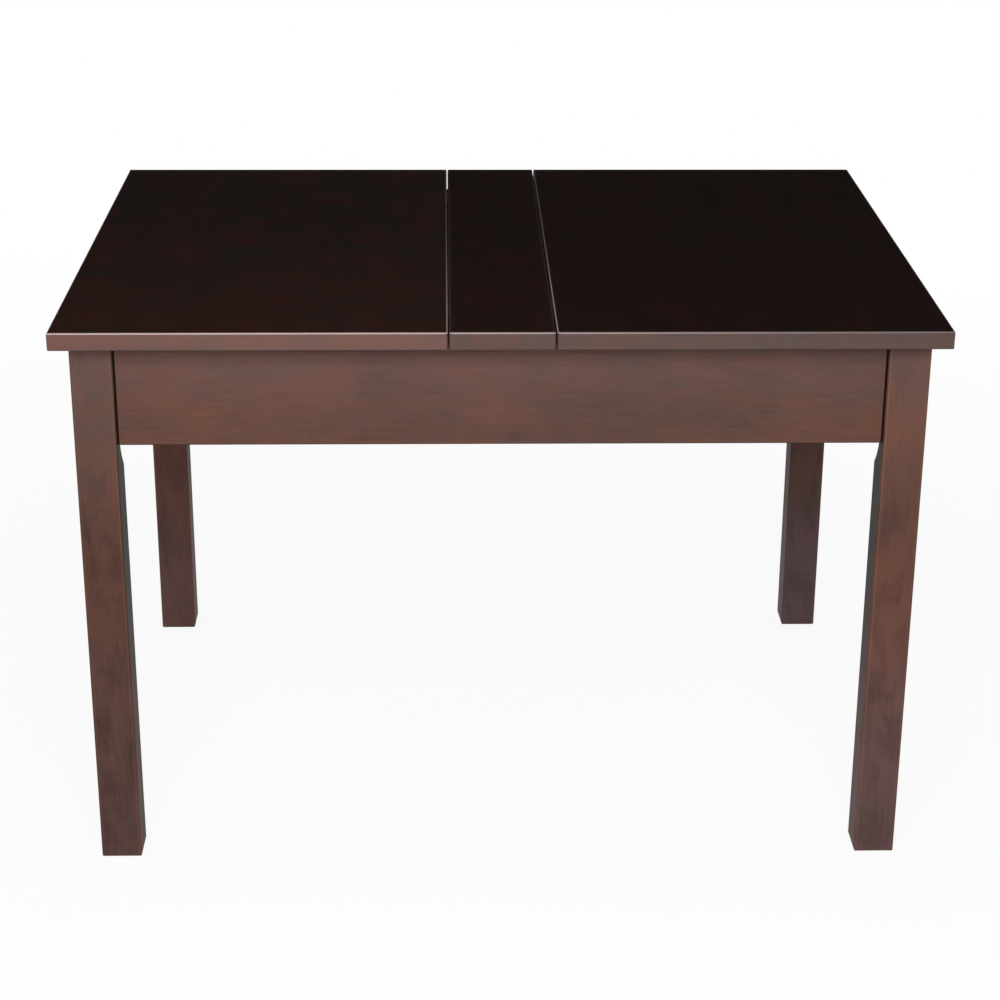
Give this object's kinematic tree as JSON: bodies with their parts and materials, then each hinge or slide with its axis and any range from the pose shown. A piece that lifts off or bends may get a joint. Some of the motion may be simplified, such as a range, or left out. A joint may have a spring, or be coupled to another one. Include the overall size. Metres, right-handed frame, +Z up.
{
  "type": "kids storage table",
  "caption": "Low rectangular wooden children's table with two lift-up lids over storage bins, a fixed centre panel, deep aprons and square legs.",
  "frame": {"origin": "on the floor under the middle of the table", "axes": "+Z up, +X to the right along the longer side of the top, +Y from the front to the back"},
  "size_m": [0.813, 0.61, 0.544],
  "materials": {
    "top_wood": "dark mocha stain under semi-gloss lacquer",
    "frame_wood": "mocha stain under satin lacquer",
    "inner_wood": "thin mocha stain on sawn wood",
    "floor_board": "stained plywood",
    "zinc": "satin nickel plating on die-cast zinc",
    "steel": "zinc-plated pressed steel",
    "screw_steel": "zinc-plated screws"
  },
  "bodies": {
    "root": {"leg_front_left": "frame_wood", "leg_front_right": "frame_wood", "leg_back_left": "frame_wood", "leg_back_right": "frame_wood", "apron_front": "frame_wood", "apron_back": "frame_wood", "apron_left": "frame_wood", "apron_right": "frame_wood", "rail_left": "inner_wood", "rail_right": "inner_wood", "rail_dowels": "inner_wood", "centre_panel": "top_wood", "panel_blocks": "inner_wood", "panel_screws": "screw_steel", "bin_floor_left": "floor_board", "bin_floor_right": "floor_board", "floor_screws": "screw_steel", "cleat_left_front": "inner_wood", "cleat_left_back": "inner_wood", "cleat_left_side": "inner_wood", "cleat_left_rail": "inner_wood", "cleat_right_front": "inner_wood", "cleat_right_back": "inner_wood", "cleat_right_side": "inner_wood", "cleat_right_rail": "inner_wood", "block_front_left": "inner_wood", "block_front_right": "inner_wood", "block_back_left": "inner_wood", "block_back_right": "inner_wood", "frame_screws": "screw_steel", "hanger_bolts": "steel", "bolt_washers": "steel", "bolt_nuts": "steel", "hinge_cups_centre_left": "zinc", "hinge_cups_centre_right": "zinc", "hinge_screws_centre": "screw_steel", "stay_plates": "steel", "stay_plate_screws": "screw_steel", "stay_hub_rivets": "zinc"},
    "lid_left": {"lid_left": "top_wood", "hinge_cups_lid_left": "zinc", "hinge_screws_lid_left": "screw_steel", "stay_bracket_left": "steel", "stay_bracket_screws_left": "screw_steel", "stay_lid_rivet_left": "zinc"},
    "hinge_links_left": {"hinge_links_left": "steel"},
    "stay_lower_left": {"stay_lower_arm_left": "steel", "stay_elbow_rivet_left": "zinc"},
    "stay_upper_left": {"stay_upper_arm_left": "steel"},
    "lid_right": {"lid_right": "top_wood", "hinge_cups_lid_right": "zinc", "hinge_screws_lid_right": "screw_steel", "stay_bracket_right": "steel", "stay_bracket_screws_right": "screw_steel", "stay_lid_rivet_right": "zinc"},
    "hinge_links_right": {"hinge_links_right": "steel"},
    "stay_lower_right": {"stay_lower_arm_right": "steel", "stay_elbow_rivet_right": "zinc"},
    "stay_upper_right": {"stay_upper_arm_right": "steel"}
  },
  "joints": [
    {"name": "lid_left_hinge", "type": "hinge", "parent": "root", "child": "lid_left", "pos_m": [-0.0485, 0, 0.544], "axis": [0, 1, 0], "range_deg": [0, 90]},
    {"name": "hinge_links_left_turn", "type": "hinge", "parent": "root", "child": "hinge_links_left", "pos_m": [-0.0485, 0, 0.544], "axis": [0, 1, 0], "range_deg": [0, 45]},
    {"name": "stay_lower_left_pivot", "type": "hinge", "parent": "root", "child": "stay_lower_left", "pos_m": [-0.0685, 0.26375, 0.5], "axis": [0, 1, 0], "range_deg": [0, 90]},
    {"name": "stay_upper_left_pivot", "type": "hinge", "parent": "lid_left", "child": "stay_upper_left", "pos_m": [-0.1585, 0.261, 0.516], "axis": [0, 1, 0], "range_deg": [-90, 0]},
    {"name": "lid_right_hinge", "type": "hinge", "parent": "root", "child": "lid_right", "pos_m": [0.0485, 0, 0.544], "axis": [0, -1, 0], "range_deg": [0, 90]},
    {"name": "hinge_links_right_turn", "type": "hinge", "parent": "root", "child": "hinge_links_right", "pos_m": [0.0485, 0, 0.544], "axis": [0, -1, 0], "range_deg": [0, 45]},
    {"name": "stay_lower_right_pivot", "type": "hinge", "parent": "root", "child": "stay_lower_right", "pos_m": [0.0685, 0.26375, 0.5], "axis": [0, -1, 0], "range_deg": [0, 90]},
    {"name": "stay_upper_right_pivot", "type": "hinge", "parent": "lid_right", "child": "stay_upper_right", "pos_m": [0.1585, 0.261, 0.516], "axis": [0, -1, 0], "range_deg": [-90, 0]}
  ],
  "couplings": [
    {"joint": "hinge_links_left_turn", "follows": "lid_left_hinge", "ratio": 0.5},
    {"joint": "stay_lower_left_pivot", "follows": "lid_left_hinge", "ratio": 1},
    {"joint": "stay_upper_left_pivot", "follows": "lid_left_hinge", "ratio": -1},
    {"joint": "hinge_links_right_turn", "follows": "lid_right_hinge", "ratio": 0.5},
    {"joint": "stay_lower_right_pivot", "follows": "lid_right_hinge", "ratio": 1},
    {"joint": "stay_upper_right_pivot", "follows": "lid_right_hinge", "ratio": -1}
  ]
}
